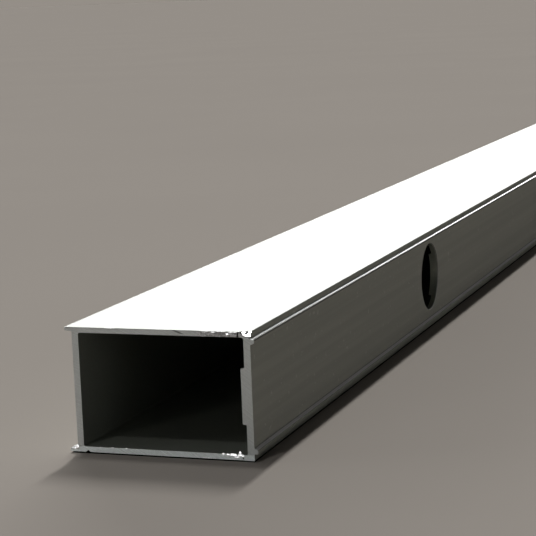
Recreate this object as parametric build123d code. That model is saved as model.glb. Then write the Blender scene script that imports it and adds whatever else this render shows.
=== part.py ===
from build123d import *

import os

# One bar of aluminium extrusion, lying on its bottom wall.
# The bar is a box section with two lips on its left side, two snap ribs on its right side,
# a guide groove in its underside and a thickened strip inside the right wall.
# A round hole is drilled through the right wall and the strip.
# The near end shows how it was sawn: the right wall stands a little proud of the rest,
# and its top corner is knocked down.
# X runs across the section, Y along the bar and Z up.
# The origin is under the middle of the bar, on the plane that it lies on.

# Driving dimensions in millimetres.
stock_length = 1000.0  # cut length of the bar

section_height = 32.0  # outside of the bottom wall to outside of the top wall
body_width = 47.5  # outside of the left wall to outside of the right wall
flange_wall = 1.4  # thickness of the top and bottom walls
side_wall = 1.7  # thickness of the left and right walls

lip_reach = 2.0  # how far the two lips stand out of the left wall
lip_thickness = 1.0

rib_reach = 1.0  # how far the two snap ribs stand out of the right wall
rib_setback = 1.7  # plain wall between a rib and the nearer flange's outside face
rib_root = 1.5  # height of a rib where it leaves the wall
rib_nose = 1.1  # height of a rib at its outer end, less than the root by its sloping flank

groove_width = 1.3  # the guide groove's mouth
groove_depth = 0.5
groove_inset = 2.8  # outside of the left wall to the groove's bottom line

pad_thickness = 1.0  # metal that the strip adds to the inside of the right wall
pad_height = 14.0

hole_diameter = 22.0
hole_from_end = 174.5  # near end of the bar to the centre of the hole
hole_height = 16.8  # underside of the bar to the centre of the hole
hole_edge_break = 0.2  # deburred edge on the outside of the hole

saw_step = 0.2  # how much longer the saw left the right wall and its pad than the rest
knock_across = 3.2  # the knocked corner, along the end's top edge
knock_down = 1.7  # the same, down the right wall's end
knock_along = 1.8  # the same, along the bar's top right edge

outer_radius = 0.2  # corners that the die leaves on the outside of the section
lip_radius = 0.4  # inner corner of a lip's tip
cavity_radius = 0.5  # corners inside the hollow
root_radius = 0.25  # where a lip, rib or pad grows out of its wall
rib_radius = 0.2  # corners of a rib's nose
pad_radius = 0.3  # corners of the pad

# Places across the section, worked out from the dimensions above.
overall_width = lip_reach + body_width + rib_reach
lip_tip = -overall_width / 2
left_face = lip_tip + lip_reach
right_face = left_face + body_width
rib_end = right_face + rib_reach
groove_line = left_face + groove_inset
left_inside = left_face + side_wall
right_inside = right_face - side_wall
pad_face = right_inside - pad_thickness
floor_inside = flange_wall
roof_inside = section_height - flange_wall
mid_height = section_height / 2
pad_bottom = mid_height - pad_height / 2
pad_top = mid_height + pad_height / 2
near_end = -stock_length / 2

SAME_PLACE = 1e-4  # two corners nearer than this are one


def box_2d(x_low, x_high, z_low, z_high):
    """A rectangle of the section, given by its sides."""
    centre = ((x_low + x_high) / 2, (z_low + z_high) / 2)
    return Pos(*centre) * Rectangle(x_high - x_low, z_high - z_low)


def mirrored(z):
    """The same height, measured down from the top of the section."""
    return section_height - z


def pair(x, z):
    """A corner and its mirror image in the other half of the section."""
    return [(x, z), (x, mirrored(z))]


def round_corners(face, points, radius):
    """Rounds the corners of a section that lie at the given points."""
    chosen = [
        corner
        for corner in face.vertices()
        if any(abs(corner.X - x) + abs(corner.Y - z) < SAME_PLACE for x, z in points)
    ]
    return fillet(chosen, radius)


def shape_2d(*corners):
    """A flat face of the section with straight sides between the given corners."""
    return make_face(Polyline(*corners, close=True))


def lower_lip():
    """The lip at the bottom left: a plain flat tongue in line with the underside."""
    lip = box_2d(lip_tip, left_face, 0, lip_thickness)
    lip = round_corners(lip, [(lip_tip, 0)], outer_radius)
    return round_corners(lip, [(lip_tip, lip_thickness)], lip_radius)


def lower_rib():
    """The rib at the bottom right: flat underneath, with a sloping flank on top."""
    foot = rib_setback
    rib = shape_2d(
        (right_face, foot),
        (rib_end, foot),
        (rib_end, foot + rib_nose),
        (right_face, foot + rib_root),
    )
    return round_corners(rib, [(rib_end, foot), (rib_end, foot + rib_nose)], rib_radius)


def guide_groove():
    """The V-shaped groove in the underside, a line that a drill can be started on."""
    return shape_2d(
        (groove_line - groove_width / 2, 0),
        (groove_line, groove_depth),
        (groove_line + groove_width / 2, 0),
    )


def both_halves(shape):
    """A shape of the lower half of the section, with its mirror image in the upper half."""
    middle = Plane(origin=(0, mid_height, 0), z_dir=(0, 1, 0))
    return shape + mirror(shape, about=middle)


def outer_outline():
    """The full outside of the section: body, lips, ribs and groove, with its corners rounded."""
    body = box_2d(left_face, right_face, 0, section_height)
    body = round_corners(body, pair(right_face, 0), outer_radius)
    outline = body + both_halves(lower_lip()) + both_halves(lower_rib())

    roots = pair(left_face, lip_thickness)
    roots += pair(right_face, rib_setback) + pair(right_face, rib_setback + rib_root)
    return round_corners(outline, roots, root_radius) - guide_groove()


def hollow_outline():
    """The hollow inside the walls, which steps in at the pad on the right wall."""
    hollow = box_2d(left_inside, right_inside, floor_inside, roof_inside)
    hollow -= box_2d(pad_face, right_inside, pad_bottom, pad_top)

    corners = pair(left_inside, floor_inside) + pair(right_inside, floor_inside)
    hollow = round_corners(hollow, corners, cavity_radius)
    hollow = round_corners(hollow, pair(right_inside, pad_bottom), root_radius)
    return round_corners(hollow, pair(pad_face, pad_bottom), pad_radius)


def extruded_bar():
    """The section pushed along the bar, with its near end at the lowest Y."""
    section = outer_outline() - hollow_outline()
    far_end = Plane(origin=(0, stock_length / 2, 0), x_dir=(1, 0, 0), z_dir=(0, -1, 0))
    return extrude(far_end * section, amount=stock_length)


def side_hole():
    """The drill's path through the right wall and its pad, flared at the outside face."""
    hole_y = near_end + hole_from_end
    drill_length = body_width / 2
    outside = Plane(origin=(right_face, hole_y, hole_height), x_dir=(0, 1, 0), z_dir=(1, 0, 0))
    radius = hole_diameter / 2
    drill = outside * Pos(0, 0, -drill_length / 2) * Cylinder(radius, drill_length)
    flare_centre = -hole_edge_break / 2
    flare = outside * Pos(0, 0, flare_centre) * Cone(radius, radius + hole_edge_break, hole_edge_break)
    return drill + flare


def saw_setback():
    """What the saw took off the near end, everywhere but on the right wall and its pad."""
    width = pad_face - lip_tip
    return Pos(lip_tip, near_end, mid_height) * Box(2 * width, 2 * saw_step, 2 * section_height)


def knocked_corner():
    """The metal missing from the top right corner of the near end, beyond one sloping plane."""
    on_end = Vector(right_face - knock_across, near_end, section_height)
    down_wall = Vector(right_face, near_end, section_height - knock_down)
    slope = Vector(1 / knock_across, -1 / knock_along, 1 / knock_down)
    facet = Plane(origin=on_end, x_dir=down_wall - on_end, z_dir=slope)
    size = 2 * (knock_across + knock_down + knock_along)
    return facet * Pos(0, 0, size / 2) * Box(size, size, size)


def main():
    bar = extruded_bar() - side_hole() - saw_setback() - knocked_corner()
    os.makedirs("parts", exist_ok=True)
    export_step(bar, "parts/extrusion_profile.step")
    area = (outer_outline() - hollow_outline()).area
    print(f"section area {area:.1f} mm2, bar volume {bar.volume:.0f} mm3, solids {len(bar.solids())}")


main()
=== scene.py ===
# %% [markdown]
# An aluminium extrusion profile
#
# The object is one bar of extruded aluminium: a thin-walled box section with two lips on its
# left side, two small snap ribs on its right side and a round hole near one end. The walls,
# lips, ribs and hole are already solid in the CAD model. What is left for Blender is what a
# maker sees when the bar is held up: the satin skin with its die lines, the dull hollow, the
# drilled wall of the hole, the sawn ends, the torn corner and the burrs that the saw pulled up.

# %% Load the CAD frame
import math
import random

import bmesh
import bpy
from mathutils import Matrix, Vector, noise


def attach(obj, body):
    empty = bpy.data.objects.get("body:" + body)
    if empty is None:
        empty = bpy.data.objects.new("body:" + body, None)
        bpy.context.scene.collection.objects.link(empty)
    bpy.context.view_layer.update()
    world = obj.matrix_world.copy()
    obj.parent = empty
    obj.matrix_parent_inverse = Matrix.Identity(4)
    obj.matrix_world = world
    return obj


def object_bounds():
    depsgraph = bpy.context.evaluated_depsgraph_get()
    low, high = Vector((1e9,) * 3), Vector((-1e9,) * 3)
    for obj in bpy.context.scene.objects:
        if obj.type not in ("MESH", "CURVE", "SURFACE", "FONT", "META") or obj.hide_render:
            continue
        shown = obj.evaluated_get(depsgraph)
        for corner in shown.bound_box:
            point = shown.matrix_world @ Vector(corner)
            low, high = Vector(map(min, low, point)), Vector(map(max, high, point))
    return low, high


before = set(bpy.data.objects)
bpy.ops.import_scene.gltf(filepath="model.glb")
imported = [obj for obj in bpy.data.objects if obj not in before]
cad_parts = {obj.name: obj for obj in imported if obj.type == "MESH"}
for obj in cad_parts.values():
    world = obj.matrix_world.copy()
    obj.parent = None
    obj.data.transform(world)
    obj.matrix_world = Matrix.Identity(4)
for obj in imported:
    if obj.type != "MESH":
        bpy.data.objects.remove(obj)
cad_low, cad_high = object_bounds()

MM = 0.001
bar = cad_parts["extrusion_profile"]
print("CAD box in metres:", [round(v, 4) for v in (*cad_low, *cad_high)])

# %% [markdown]
# The camera
#
# A long lens, low over the floor and to the right of the bar, shows the sawn end nearly square
# on and lets the long sides run away to the upper right. The place, the turn and the lens were
# worked out together, because moving a camera back and using a longer lens nearly cancel each
# other out. There is no depth of field, so the whole bar stays sharp.

# %% Place the camera
CAMERA_PLACE = (0.16906, -0.88687, 0.11201)
CAMERA_TURN = (81.1089, 2.2514, 19.4631)  # degrees about X, Y and Z
LENS, SENSOR = 117.38, 36.0  # millimetres
NEAREST, FARTHEST = 0.02, 400.0  # what the camera sees, in metres

camera_data = bpy.data.cameras.new("view")
camera_data.sensor_width, camera_data.lens = SENSOR, LENS
camera_data.clip_start, camera_data.clip_end = NEAREST, FARTHEST
camera = bpy.data.objects.new("view", camera_data)
camera.location = CAMERA_PLACE
camera.rotation_euler = [math.radians(turn) for turn in CAMERA_TURN]
bpy.context.collection.objects.link(camera)
bpy.context.scene.camera = camera
print("camera at", [round(v, 4) for v in camera.location], "with a lens of", LENS, "mm")

# %% [markdown]
# Shader maths
#
# A material is a network of nodes. It could be drawn by hand in the editor, but a formula is
# easier to read as a formula. The class below wraps one output socket, so that a sum of two
# wires adds a Math node, and one method adds any other node that is needed. A mask is a wire
# that is 1 in one region of the bar and 0 outside it.


# %% One class for shader maths
class Wire:
    """An output socket in a material. Python's operators on it add Math nodes."""

    def __init__(self, tree, socket=None):
        self.tree = tree
        self.socket = socket

    def node(self, kind, settings=None, values=None, output=0):
        """Adds a node: first its settings, then a value or a link for each socket."""
        made = self.tree.nodes.new(kind)
        for name, setting in (settings or {}).items():
            setattr(made, name, setting)
        for name, value in (values or {}).items():
            if isinstance(value, Wire):
                self.tree.links.new(value.socket, made.inputs[name])
            else:
                made.inputs[name].default_value = value
        return Wire(self.tree, made.outputs[output])

    def math(self, operation, first, second):
        """Adds a Math node for two values, each of them a wire or a number."""
        return self.node("ShaderNodeMath", {"operation": operation}, {0: first, 1: second})

    def __add__(self, other):
        return self.math("ADD", self, other)

    def __radd__(self, other):
        return self.math("ADD", other, self)

    def __mul__(self, other):
        return self.math("MULTIPLY", self, other)

    def __rmul__(self, other):
        return self.math("MULTIPLY", other, self)

    def __sub__(self, other):
        return self.math("SUBTRACT", self, other)

    def __rsub__(self, other):
        return self.math("SUBTRACT", other, self)

    def __truediv__(self, other):
        return self.math("DIVIDE", self, other)

    def __rtruediv__(self, other):
        return self.math("DIVIDE", other, self)

    def at_least(self, low):
        """The larger of the two. Of two masks: 1 where one of them is."""
        return self.math("MAXIMUM", self, low)

    def at_most(self, high):
        """The smaller of the two."""
        return self.math("MINIMUM", self, high)

    def rise(self, low, high):
        """A mask that goes smoothly from 0 at low to 1 at high."""
        return self.node(
            "ShaderNodeMapRange",
            {"interpolation_type": "SMOOTHSTEP"},
            {"Value": self, "From Min": low, "From Max": high, "To Min": 0.0, "To Max": 1.0},
        )

    def fall(self, low, high):
        """A mask that goes smoothly from 1 at low to 0 at high."""
        return 1.0 - self.rise(low, high)

    def band(self, low, high, soft):
        """A mask that is 1 between low and high and fades out over soft on each side."""
        return self.rise(low - soft, low + soft) * self.fall(high - soft, high + soft)

    def mix(self, other, mask):
        """This value where the mask is 0, and the other where it is 1."""
        return self + (other - self) * mask


print("a wire can:", ", ".join(name for name in vars(Wire) if not name.startswith("_")))

# %% [markdown]
# Where on the bar is this point?
#
# Each face could be given its own material, but the mesh from the CAD model is loose triangles
# that aren't sorted by face. The bar is straight and lies along Y, so its own coordinates tell
# its regions apart. These are the places on it that the materials need, in millimetres, as the
# CAD model has them.

# %% Places on the bar
LIP_TIP, LEFT_INSIDE = -25.25, -21.55
PAD_FACE, RIGHT_INSIDE, RIGHT_FACE = 21.55, 22.55, 24.25
FLOOR_INSIDE, ROOF_INSIDE, TOP_FACE = 1.4, 30.6, 32.0
WALL_END, NEAR_FACE, FAR_FACE = -500.0, -499.8, 500.0  # the saw left the right wall longer
HOLE_Y, HOLE_Z, HOLE_RADIUS = -325.5, 16.8, 11.0


def corners_at(axis, level):
    """How many corners of the CAD mesh lie at a level along an axis, in millimetres."""
    places = (getattr(vert.co, axis) / MM for vert in bar.data.vertices)
    return sum(math.isclose(place, level, abs_tol=0.01) for place in places)


print("corners on the near face:", corners_at("y", NEAR_FACE))
print("corners on the right wall's end:", corners_at("y", WALL_END))
print("corners on the far face:", corners_at("y", FAR_FACE))

# %% [markdown]
# One metal, region by region
#
# The whole bar is one piece of metal, and its finishes meet along sharp edges. Five materials
# could be handed out face by face. Here one material holds them all: it starts with the skin,
# and each region then covers it with its own colour, roughness and height where its mask is 1.


# %% Start the bar's metal
def new_material(name):
    """A new material made of nodes, and its shader."""
    material = bpy.data.materials.new(name)
    material.use_nodes = True
    return material, material.node_tree.nodes["Principled BSDF"]


def coordinates(material):
    """The piece's own coordinates in millimetres: the vector, then its X, Y and Z."""
    place = Wire(material.node_tree).node("ShaderNodeTexCoord", output="Object")
    place = place.node("ShaderNodeVectorMath", {"operation": "SCALE"}, {0: place, "Scale": 1 / MM})
    x, y, z = (place.node("ShaderNodeSeparateXYZ", values={0: place}, output=i) for i in range(3))
    return place, x, y, z


def blended(mask, first, second):
    """One colour where the mask is 0 and another where it is 1."""
    sockets = {0: mask, 6: first, 7: second}
    return mask.node("ShaderNodeMix", {"data_type": "RGBA"}, sockets, output=2)


class Coat:
    """A finish: a colour, a roughness and a height in millimetres."""

    def __init__(self, colour, rough, height):
        self.colour, self.rough, self.height = colour, rough, height

    def cover(self, mask, colour, rough=None, height=None):
        """Puts another finish over this one where the mask is 1."""
        self.colour = blended(mask, self.colour, colour)
        if rough is not None:
            self.rough = self.rough.mix(rough, mask)
        if height is not None:
            self.height = self.height.mix(height, mask)


satin_aluminium, satin_shader = new_material("satin_aluminium")
place, x, y, z = coordinates(satin_aluminium)
print("new material:", satin_aluminium.name)

# %% [markdown]
# The skin
#
# Soft hot metal is pressed through a steel die, and every nick in the die draws a line as long
# as the bar. A picture of brushed metal could be wrapped round it. Noise that is stretched
# along the bar does the same at any length and has no seam: fine lines, broader dull streaks,
# and a few rubs from handling that cross them at a slant.

# %% The skin that the die leaves
NEUTRAL = (1.0, 1.0, 1.0)
SKIN_TINT = (0.96, 1.0, 0.92)
RUB_SLANT = 0.35  # radians away from the bar's length


def stretched(vector, across, along, up):
    """The coordinates with each axis scaled, for a pattern that is drawn out along one."""
    scales = {0: vector, 1: (across, along, up)}
    return vector.node("ShaderNodeVectorMath", {"operation": "MULTIPLY"}, scales)


def speckle(vector, scale=1.0, detail=2.0, roughness=0.5):
    """Noise between 0 and 1, with features about 1 / scale millimetres wide."""
    values = {"Vector": vector, "Scale": scale, "Detail": detail, "Roughness": roughness}
    return vector.node("ShaderNodeTexNoise", values=values)


def grey(level, tint=NEUTRAL):
    """A plain colour: a grey with a slight tint."""
    return (*(level * part for part in tint), 1.0)


def tone(mask, first, second, tint=NEUTRAL):
    """One grey where the mask is 0 and another where it is 1, in the same tint."""
    return blended(mask, grey(first, tint), grey(second, tint))


lines = speckle(stretched(place, across=4.0, along=0.006, up=4.0), detail=3.0)
streaks = speckle(stretched(place, across=0.45, along=0.0025, up=0.45), detail=3.0)
slanted = place.node(
    "ShaderNodeMapping", values={"Vector": place, "Rotation": (0.0, 0.0, RUB_SLANT)}
)
rubs = speckle(stretched(slanted, across=1.4, along=0.05, up=0.6)).rise(0.66, 0.74)
skin = tone(streaks.rise(0.3, 0.7), 0.41, 0.46, SKIN_TINT)
metal = Coat(
    colour=blended(rubs * 0.25, skin, grey(0.75)),
    rough=0.60 + streaks * 0.06 + lines * 0.06 - rubs * 0.06,
    height=lines * 0.004 - rubs * 0.002,
)
print("nodes with the skin:", len(satin_aluminium.node_tree.nodes))

# %% [markdown]
# The hollow
#
# Nothing rubs or polishes the inside of the walls, so it stays dull, and its grey is a little
# darker than the skin, as painted shade in the hollow. It could be left to the shadow alone, but
# a satin wall would mirror the light at the mouth deep into the bar. A rough grey, only a little
# mottled, keeps the light in the mouth.

# %% The dull hollow, painted a little darker as shade
HOLLOW_TINT = (0.95, 1.0, 0.88)
WITHIN = 0.05  # how far a region's mask reaches into the metal, so that it holds its faces

inside = x.band(LEFT_INSIDE - WITHIN, RIGHT_INSIDE + WITHIN, 0.02)
inside = inside * z.band(FLOOR_INSIDE - WITHIN, ROOF_INSIDE + WITHIN, 0.02)
grain = speckle(place, scale=1.2, detail=4.0)
# Painted shade: the hollow's grey is darker than the skin's.
metal.cover(inside, tone(grain, 0.32, 0.40, HOLLOW_TINT), rough=0.75)
print("nodes with the hollow:", len(satin_aluminium.node_tree.nodes))

# %% [markdown]
# The drilled hole
#
# A twist drill leaves bright metal with fine rings round its axis. The rings could be cut into
# the mesh, but they are a few hundredths of a millimetre deep, so stripes along the axis in
# the bump do. The broken edge outside carries painted shade above, and a painted highlight
# below, where it faces up to the light.


# %% The drilled wall and its edge
def distance(vector, point):
    """How far each place is from a point, in millimetres."""
    ends = {0: vector, 1: point}
    return vector.node("ShaderNodeVectorMath", {"operation": "DISTANCE"}, ends, output=1)


def stripes(number, scale, detail=2.0):
    """Noise along one number alone, which shows as stripes or rings."""
    values = {"W": number, "Scale": scale, "Detail": detail, "Roughness": 0.6}
    return number.node("ShaderNodeTexNoise", {"noise_dimensions": "1D"}, values)


from_axis = distance(stretched(place, across=0.0, along=1.0, up=1.0), (0.0, HOLE_Y, HOLE_Z))
drilled = from_axis.fall(HOLE_RADIUS + 0.2, HOLE_RADIUS + 0.3)
drilled = drilled * x.rise(PAD_FACE - 0.25, PAD_FACE - 0.15)
rings = stripes(x, scale=5.0)
ring_tone = tone(rings, 0.60, 0.88, HOLLOW_TINT)
metal.cover(drilled, ring_tone, rough=0.35 + rings * 0.15, height=rings * 0.03)

# Painted shade above and a painted highlight below, on the broken edge round the hole.
broken_edge = drilled * x.rise(RIGHT_FACE - 0.22, RIGHT_FACE - 0.17)
metal.cover(broken_edge, tone(z.rise(8.0, 14.0), 0.85, 0.12))
print("nodes with the hole:", len(satin_aluminium.node_tree.nodes))

# %% [markdown]
# The ribs
#
# The flat side of the upper rib carries a painted highlight, a narrow bright line as long as
# the bar, and a lower roughness. Its nose beside it carries painted shade, and the sloping flank
# of the lower rib a painted highlight, a little brighter than the skin. Extra strips of mesh
# could carry these, but they would have no thickness of their own.

# %% Painted highlights and shade on the ribs
RIB_TIP, UPPER_FLAT = 25.25, 30.3  # where the ribs end, and the upper rib's flat side
LOWER_FLANK = (2.75, 3.3)  # the heights between which the lower rib slopes

ledge_highlight = x.band(RIGHT_FACE + 0.23, RIB_TIP - 0.2, 0.05)
ledge_highlight = ledge_highlight * z.band(UPPER_FLAT - 0.15, UPPER_FLAT + 0.1, 0.04)
nose_shade = x.rise(RIB_TIP - 0.15, RIB_TIP - 0.05)
nose_shade = nose_shade * z.band(UPPER_FLAT - 0.6, UPPER_FLAT - 0.15, 0.05)
lower_flank = x.rise(RIGHT_FACE + 0.1, RIGHT_FACE + 0.2) * z.band(*LOWER_FLANK, 0.03)
# Painted shade on the upper rib's nose, and painted highlights on the lower rib's flank and on the
# upper rib's flat side.
metal.cover(nose_shade, grey(0.22))
metal.cover(lower_flank, grey(0.85))
metal.cover(ledge_highlight, grey(0.95), rough=0.28)
print("nodes with the ribs:", len(satin_aluminium.node_tree.nodes))

# %% [markdown]
# The sawn ends
#
# A circular saw leaves shallow arcs, all round the place where its axle was, and a grain where
# the teeth dragged. On the right of the top wall they tore the metal into a mottled patch. The
# arcs could be modelled as grooves, but they are finer than any other edge of the bar, so they
# are stripes by the distance from the axle. The far end is a plain cut in one duller tone.

# %% The saw's marks
CUT_TINT = (0.95, 1.0, 0.98)
BLADE_AXLE = (-70.0, 0.0, -110.0)

from_axle = distance(stretched(place, across=1.0, along=0.0, up=1.0), BLADE_AXLE)
arcs = stripes(from_axle, scale=3.0, detail=3.0)
drag = speckle(place, scale=2.6, detail=4.0, roughness=0.65)
torn_patch = x.band(10.5, 21.3, 0.8) * z.rise(30.5, 30.7)
pits = speckle(place, scale=1.1, detail=3.0, roughness=0.6).rise(0.44, 0.56)

cut = tone((arcs * 0.5 + drag * 0.5).rise(0.3, 0.7), 0.76, 0.97, CUT_TINT)
cut = blended(torn_patch * 0.9, cut, tone(pits, 0.36, 0.98))
# Painted light and shade: the end is darkened above the bottom wall, more on the left wall and
# along the top edge, so that the bottom wall, which faces the shadow in front, stays lighter.
above_floor = z.rise(FLOOR_INSIDE, FLOOR_INSIDE + 0.1)
left_wall = x.fall(LEFT_INSIDE - 0.15, LEFT_INSIDE + 0.15)
top_edge = z.rise(TOP_FACE - 0.5, TOP_FACE - 0.1)
cut = blended(above_floor * 0.35 + left_wall * 0.1 + top_edge * 0.3, cut, grey(0.42))

rolled_under = (FLOOR_INSIDE - z) * 0.2 * z.fall(FLOOR_INSIDE - 0.05, FLOOR_INSIDE + 0.05)
cut_height = arcs * 0.02 + drag * 0.04 + pits * torn_patch * 0.08 + rolled_under
print("nodes with the saw's marks:", len(satin_aluminium.node_tree.nodes))

# %% Fine cracks in the near end, with painted shade in them, and the cut itself
CRACK_SHADE, CRACK_DEPTH, FAR_TONE = 0.03, 0.1, 0.42


def slanting_line(middle_x, middle_z, slope, half_width, soft, heights, fade):
    """A mask along a line on the end that moves slope millimetres across for each one up."""
    beside = x - middle_x - (z - middle_z) * slope
    return beside.band(-half_width, half_width, soft) * z.band(*heights, fade)


# The cracks and a slanting scratch are painted near black, as painted shade in them, and are sunk
# a little in the bump.
crack = slanting_line(21.1, 31.3, 0.1, 0.16, 0.04, (30.6, 31.8), 0.05)
low_crack = slanting_line(21.25, 0.55, -0.38, 0.18, 0.06, (0.3, 0.8), 0.06)
scratch = slanting_line(5.9, 31.3, -2.7, 0.5, 0.2, (31.1, 31.9), 0.1)
cracked = crack.at_least(scratch * 0.7).at_least(low_crack)

near_end = y.fall(NEAR_FACE + 0.02, NEAR_FACE + 0.06)
far_end = y.rise(FAR_FACE - 0.06, FAR_FACE - 0.02)
metal.cover(
    near_end.at_least(far_end),
    blended(cracked, cut, grey(CRACK_SHADE)),
    rough=0.50 + drag * 0.2,
    height=cut_height - cracked * CRACK_DEPTH,
)
metal.cover(far_end, grey(FAR_TONE))
print("nodes with the ends:", len(satin_aluminium.node_tree.nodes))

# %% [markdown]
# The torn corner
#
# The near end's top right corner was knocked down to a sloping facet, which the CAD model has.
# Fresh torn metal is bright, and this one curls over at its edges, so it catches the light from
# more sides than a flat facet can. The curl could be modelled, but the CAD mesh isn't changed,
# so the bump tilts it. A small nick and the facet's lowest tip are duller. The worn sides of
# the two ribs are tilted in the same way, outwards and down.

# %% The torn corner
KNOCK_ACROSS, KNOCK_ALONG, KNOCK_DOWN = 3.2, 1.8, 1.7  # the facet's size, as in the CAD model

facet = (x - RIGHT_FACE) / KNOCK_ACROSS - (y - WALL_END) / KNOCK_ALONG
facet = facet + (z - TOP_FACE) / KNOCK_DOWN + 1.0  # 0 on the facet's own plane
torn = facet.rise(-0.05, -0.02) * x.fall(RIGHT_FACE + 0.03, RIGHT_FACE + 0.07)
curl = (RIGHT_FACE - x).at_most(1.5 + grain * 0.9) * -0.24 + (y - WALL_END) * 0.134
torn_tone = tone(grain.rise(0.3, 0.45), 0.60, 0.95)
metal.cover(torn, torn_tone, rough=0.20 + grain * 0.06, height=grain * 0.02 + curl)

nick = x.band(22.9, 23.5, 0.1) * z.rise(31.4, 31.5)
low_tip = z.fall(30.8, 30.9)
metal.cover(nick.at_least(low_tip) * torn, grey(0.30), rough=0.5)
print("nodes with the corner:", len(satin_aluminium.node_tree.nodes))

# %% The tilt of the worn ribs
WORN_FROM, WORN_SLOPE = RIGHT_FACE + 0.15, 0.37
FLANK_FROM, FLANK_SLOPE = RIGHT_FACE + 0.1, 0.5

worn = x.rise(WORN_FROM, WORN_FROM + 0.1) * z.band(UPPER_FLAT - 0.1, UPPER_FLAT + 0.1, 0.03)
worn_away = (x - WORN_FROM) * WORN_SLOPE * worn
metal.height = metal.height - worn_away - (x - FLANK_FROM) * FLANK_SLOPE * lower_flank
print("nodes with the ribs' tilt:", len(satin_aluminium.node_tree.nodes))


# %% Put the metal on the bar
def finish(shader, coat):
    """Links a coat's colour, roughness and height to a metal's shader."""
    links = coat.colour.tree.links
    heights = {"Height": coat.height, "Distance": MM, "Strength": 1.0}
    bump = coat.height.node("ShaderNodeBump", values=heights)
    links.new(coat.colour.socket, shader.inputs["Base Color"])
    links.new(coat.rough.socket, shader.inputs["Roughness"])
    links.new(bump.socket, shader.inputs["Normal"])
    shader.inputs["Metallic"].default_value = 1.0


finish(satin_shader, metal)
bar.data.materials.clear()
bar.data.materials.append(satin_aluminium)
print("bar's material:", bar.data.materials[0].name)

# %% [markdown]
# Fresh metal for the burrs
#
# A burr is the same aluminium, torn a moment ago: brighter than the cut it sits on. It could
# share the bar's material, but that one tells its regions by place, and a burr leans out of
# its region. A short material of its own is brighter, and duller again in the mottled patch.


# %% Torn metal
def torn_metal():
    """Bright metal that has just been torn, duller in the top wall's mottled patch."""
    material, shader = new_material("torn_aluminium")
    place, x, y, z = coordinates(material)
    grain = speckle(place, scale=2.5, detail=3.0)
    coat = Coat(tone(grain.rise(0.3, 0.6), 0.70, 0.95), 0.24 + grain * 0.1, grain * 0.02)
    dull = z.band(30.6, 31.55, 0.05) * (1.0 - x.band(17.8, 19.1, 0.05))
    coat.colour = blended(dull * 0.6, coat.colour, grey(0.45))
    coat.rough = coat.rough.mix(0.5, dull)
    finish(shader, coat)
    return material


torn_aluminium = torn_metal()
print("nodes for the burrs:", len(torn_aluminium.node_tree.nodes))

# %% [markdown]
# Burrs at the sawn end
#
# Where the blade left the metal it pushed crumbs and slivers over the edge: a row of bright
# crumbs on the right of the bottom wall, one of them standing up into the hollow's mouth, a
# flake on the lower lip, and a torn rim along the right of the top wall. They could be painted
# on, but a burr shows by the light on its own facets, so each is a small lump of real mesh: a
# ball with few faces, pressed flat against the end and pushed out of shape by noise. The saw
# left the end a fifth of a millimetre behind the right wall, and the lumps fill that depth.

# %% One lump of pushed-up metal
HALF_DEPTH = 0.03  # half of a lump's thickness before it is tilted
PROUD = 0.02  # how far the middle of a lump without any height stands out of the end
LEAN = 0.19  # how much further it stands out for each millimetre of half height
LUMPINESS = 0.2


def lump(shape, left, right, bottom, top, tilt, seed):
    """Adds a flat lump with few faces to the near end, tipped back by a tilt in degrees."""
    made = bmesh.ops.create_icosphere(shape, subdivisions=2, radius=1.0)["verts"]
    shift = Vector((seed * 3.1, seed * 1.7, seed * 0.9))
    for vert in made:
        vert.co *= 1.0 + LUMPINESS * noise.noise(vert.co * 1.7 + shift)
    half = ((right - left) / 2, HALF_DEPTH, (top - bottom) / 2)
    bmesh.ops.scale(shape, verts=made, vec=half)
    turn = Matrix.Rotation(math.radians(-tilt), 3, "X")
    bmesh.ops.rotate(shape, verts=made, cent=(0, 0, 0), matrix=turn)
    middle_y = NEAR_FACE - PROUD - LEAN * half[2]
    middle = ((left + right) / 2, middle_y, (bottom + top) / 2)
    bmesh.ops.translate(shape, verts=made, vec=middle)


def keep_inside(shape, low, high):
    """Presses any corner that noise pushed out of the bar's box back onto its surface."""
    for vert in shape.verts:
        for axis in range(3):
            vert.co[axis] = min(max(vert.co[axis], low[axis]), high[axis])


def finished_piece(name, shape, material):
    """Turns a bmesh drawn in millimetres into a piece of the bar."""
    bmesh.ops.scale(shape, verts=shape.verts, vec=(MM, MM, MM))
    keep_inside(shape, cad_low, cad_high)
    bmesh.ops.recalc_face_normals(shape, faces=shape.faces)
    mesh = bpy.data.meshes.new(name)
    shape.to_mesh(mesh)
    shape.free()
    piece = bpy.data.objects.new(name, mesh)
    piece.data.materials.append(material)
    bpy.context.collection.objects.link(piece)
    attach(piece, "root")
    print(name, "triangles:", sum(len(face.vertices) - 2 for face in mesh.polygons))


print("depth for the lumps in mm:", round(NEAR_FACE - WALL_END, 3))

# %% Crumbs on the bottom wall, and a flake on the lower lip
CRUMB_TILT = 13  # degrees: tips the crumbs up to the light in front
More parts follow.
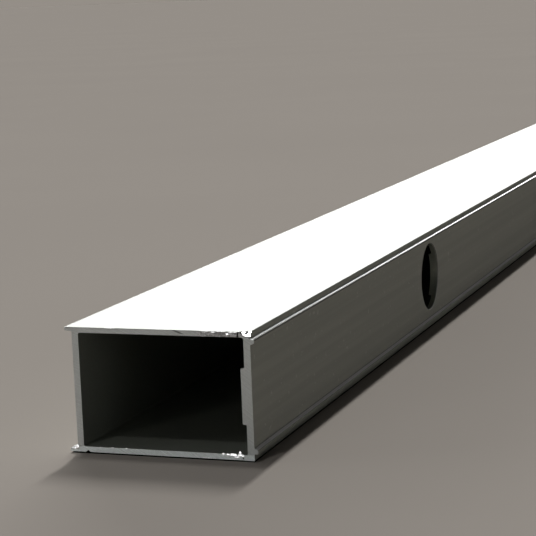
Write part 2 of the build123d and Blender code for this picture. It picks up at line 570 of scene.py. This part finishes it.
# Each crumb: left and right end, lowest and highest point, in millimetres on the sawn end.
BOTTOM_CRUMBS = (
    (15.7, 16.6, 1.05, 1.65),
    (16.8, 18.0, 1.02, 1.60),
    (17.9, 19.1, 0.92, 1.66),
    (18.5, 19.8, 0.88, 1.62),
    (18.8, 19.9, 0.60, 1.20),
    (19.2, 20.3, 0.42, 1.02),
    (19.8, 20.9, 0.80, 1.62),
    (20.0, 21.1, 1.00, 1.75),
    (20.2, 20.8, 1.45, 2.30),
    (20.9, 21.55, 0.75, 1.50),
    (-25.0, -23.8, 0.66, 1.26),
    (-24.5, -23.1, 0.62, 1.48),
    (-23.9, -22.8, 0.56, 1.76),
    (-23.6, -22.8, 0.80, 1.92),
    (-17.4, -16.4, 1.26, 1.50),
    (-14.2, -12.9, 1.22, 1.52),
    (-10.2, -9.5, 1.24, 1.54),
    (10.6, 14.2, 0.02, 0.28),
)
FIRST_BOTTOM_SEED = 1

shape = bmesh.new()
for number, crumb in enumerate(BOTTOM_CRUMBS):
    lump(shape, *crumb, CRUMB_TILT, FIRST_BOTTOM_SEED + number)
finished_piece("bottom_burrs", shape, torn_aluminium)

# %% Torn rim on the top wall
TOP_CRUMBS = (
    (11.0, 14.6, 31.84, 32.05),
    (14.1, 15.4, 31.58, 32.05),
    (15.2, 16.6, 31.80, 32.05),
    (16.4, 18.0, 31.78, 32.05),
    (17.9, 19.0, 31.12, 31.70),
    (18.7, 20.0, 31.66, 32.05),
    (19.8, 21.1, 31.70, 32.05),
    (-14.3, -11.3, 31.84, 32.05),
)
FIRST_TOP_SEED, FIRST_CHIP_SEED = 11, 30
CHIPS = 26  # tiny ones, scattered over the mottled patch

scatter = random.Random(12)
shape = bmesh.new()
for number, crumb in enumerate(TOP_CRUMBS):
    lump(shape, *crumb, CRUMB_TILT, FIRST_TOP_SEED + number)
for number in range(CHIPS):
    chip_x, chip_z = scatter.uniform(12.0, 20.8), scatter.uniform(30.75, 31.75)
    wide, tall = scatter.uniform(0.15, 0.5), scatter.uniform(0.12, 0.26)
    tilt = scatter.uniform(-30, 20)
    sides = (chip_x - wide, chip_x + wide, chip_z - tall, chip_z + tall)
    lump(shape, *sides, tilt, FIRST_CHIP_SEED + number)
finished_piece("top_burrs", shape, torn_aluminium)

# %% [markdown]
# The floor
#
# A plain floor runs back past the horizon of this low camera. It could touch the bar all along,
# but a bar touches its floor only here and there, and a fine dark line shows under its edge. So
# the floor lies a hair below the bar, and the strip that the bar covers is painted near black, a
# painted shadow.

# %% Floor
FLOOR_TINT = (1.0, 0.91, 0.82)
HALF_FLOOR = 60.0  # metres
GAP = 0.4  # millimetres between the floor and the bar


def floor_material():
    """A plain floor with only the faintest change of tone, and a painted shadow where the bar
    covers it.
    """
    material, shader = new_material("pale_floor")
    place, x, y, z = coordinates(material)
    colour = tone(speckle(place, scale=0.004, detail=3.0), 0.41, 0.435, FLOOR_TINT)
    # Painted shadow: the floor under the bar is near black.
    under_bar_shadow = x.band(LIP_TIP + 0.15, RIGHT_FACE - 0.1, 0.1)
    under_bar_shadow = under_bar_shadow * y.band(NEAR_FACE + 0.1, FAR_FACE - 0.1, 0.1)
    colour = blended(under_bar_shadow, colour, grey(0.01))
    material.node_tree.links.new(colour.socket, shader.inputs["Base Color"])
    shader.inputs["Roughness"].default_value = 1.0
    shader.inputs["Specular IOR Level"].default_value = 0.0
    return material


floor_mesh = bpy.data.meshes.new("floor")
shape = bmesh.new()
bmesh.ops.create_grid(shape, x_segments=2, y_segments=2, size=HALF_FLOOR)
bmesh.ops.translate(shape, verts=shape.verts, vec=(0.0, 0.0, -GAP * MM))
shape.to_mesh(floor_mesh)
shape.free()
floor = bpy.data.objects.new("floor", floor_mesh)
floor.data.materials.append(floor_material())
bpy.context.collection.objects.link(floor)
print("floor:", 2 * HALF_FLOOR, "m square,", GAP, "mm below the bar")

# %% [markdown]
# The light
#
# Bare metal shows the room as much as itself, because each face mirrors its own part of it.
# Lamps could be hung as objects, but their distance would change along a bar a metre long. So
# the light is painted on the world by direction alone. Three ceiling lamps in a row, a little
# to the left, draw the shadows. A low bright wall far behind is mirrored in the whole top face,
# which reads as white. Weak soft patches on each side lift the sawn end and the long sides, and
# one small bright patch in front catches the burrs. The camera itself sees a plain tone like
# the far floor's, so that the horizon doesn't show as a line.

# %% Directions
world = bpy.data.worlds.new("studio")
world.use_nodes = True
way = Wire(world.node_tree).node("ShaderNodeTexCoord", output="Generated")
way_x, way_y, way_z = (
    way.node("ShaderNodeSeparateXYZ", values={0: way}, output=i) for i in range(3)
)
LEAST = 0.02  # keeps a slope from being divided by nothing
# For each side: how far a direction slopes away from it, and a mask for that half of the room.
SIDES = {
    "behind": (way_x / way_y.at_least(LEAST), way_y.rise(0.0, 0.1)),
    "in front": (way_x / way_y.at_most(-LEAST), way_y.fall(-0.1, 0.0)),
    "right": (way_y / way_x.at_least(LEAST), way_x.rise(0.0, 0.1)),
    "left": (way_y / way_x.at_most(-LEAST), way_x.fall(-0.1, 0.0)),
}
print("world nodes for the directions:", len(world.node_tree.nodes))

# %% Ceiling lamps and the wall behind
# Each lamp: from and to along the bar, in ceiling heights, its soft edge and its strength.
CEILING_LAMPS = (
    (0.58, 0.98, 0.08, 118.0),
    (0.09, 0.21, 0.02, 70.0),
    (-0.41, -0.36, 0.01, 92.0),
)
WALL_STRENGTH = 27.5

up = way_z.at_least(LEAST)
across, along = way_x / up, way_y / up
lamp_row = across.band(-0.155, -0.105, 0.01) * way_z.rise(0.02, 0.05)
glow = 0.001 + lamp_row * sum(
    along.band(start, end, soft) * strength for start, end, soft, strength in CEILING_LAMPS
)
slope, half_room = SIDES["behind"]
wall = slope.band(-0.75, -0.01, 0.02) * way_z.rise(0.01, 0.04) * way_z.fall(0.06, 0.39)
glow = glow + wall * half_room * WALL_STRENGTH
print("ceiling lamps:", len(CEILING_LAMPS), "and a wall of strength", WALL_STRENGTH)

# %% Soft patches round the bar
# Each patch: its side, two slopes and their soft edge, two heights and theirs, its strength.
PATCHES = (
    ("behind", (0.06, 0.4, 0.02), (0.2, 0.45, 0.03), 0.25),  # for the ribs' flanks
    ("behind", (-0.1, 0.1, 0.02), (0.3, 0.5, 0.03), 0.8),  # for the ledge over the upper rib
    ("in front", (0.1, 0.9, 0.04), (0.1, 0.26, 0.02), 0.56),  # for the sawn end
    ("in front", (0.3, 0.5, 0.02), (0.12, 0.2, 0.01), 11.2),  # for the burrs
    ("right", (-0.7, -0.25, 0.03), (0.03, 0.16, 0.01), 1.5),  # for the drilled side
    ("right", (-0.6, 0.25, 0.1), (0.12, 0.4, 0.04), 0.2),  # for the top, seen from the left
    ("right", (-2.2, -0.6, 0.2), (0.18, 0.45, 0.04), 0.35),  # for the top, seen from behind
    ("left", (-0.6, 0.6, 0.1), (0.1, 0.5, 0.05), 1.3),  # for the lipped side and the top
)
for side, slopes, heights, strength in PATCHES:
    slope, half_room = SIDES[side]
    glow = glow + slope.band(*slopes) * way_z.band(*heights) * half_room * strength
print("soft patches:", len(PATCHES))

# %% What the camera sees behind the floor
FAR_FLOOR = (0.297, 0.271, 0.243, 1.0)

seen = way.node("ShaderNodeLightPath", output="Is Camera Ray")
background = world.node_tree.nodes["Background"]
strength = glow.mix(1.0, seen)
world.node_tree.links.new(strength.socket, background.inputs["Strength"])
colour = blended(seen, grey(1.0), FAR_FLOOR)
world.node_tree.links.new(colour.socket, background.inputs["Color"])
bpy.context.scene.world = world
bpy.context.scene.view_settings.view_transform = "Standard"
print("world nodes:", len(world.node_tree.nodes))

# %% [markdown]
